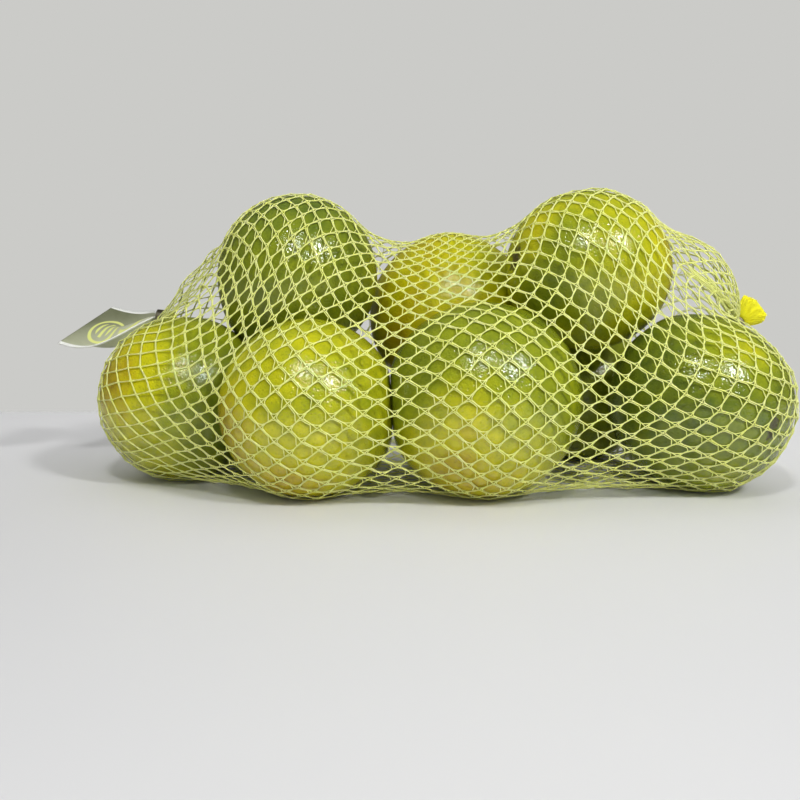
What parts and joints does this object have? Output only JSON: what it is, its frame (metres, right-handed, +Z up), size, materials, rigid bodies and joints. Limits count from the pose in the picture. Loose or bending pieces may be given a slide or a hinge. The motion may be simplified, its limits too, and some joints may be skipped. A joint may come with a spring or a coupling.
{
  "type": "net bag of oranges",
  "caption": "Knitted net bag lying on its side, filled with green-yellow oranges, clipped at both ends with a card label and a tufted tail.",
  "frame": {"origin": "middle of the foot of the whole bag's box, on the surface it lies on", "axes": "+X along the bag, from the label to the tail; +Y away from the shown side; +Z up"},
  "size_m": [0.3244, 0.167, 0.1254],
  "materials": {
    "peel": "waxy citrus peel with fine oil pores, green turning to yellow",
    "net": "pale yellow knitted filament, slightly see-through",
    "clip_metal": "plain crimped band",
    "label_card": "coated card with a dark printed face and white edges"
  },
  "bodies": {
    "root": {"filled_net": "peel", "net_tail": "net", "tail_clip": "clip_metal", "label_clip": "clip_metal", "label": "label_card"}
  },
  "joints": []
}
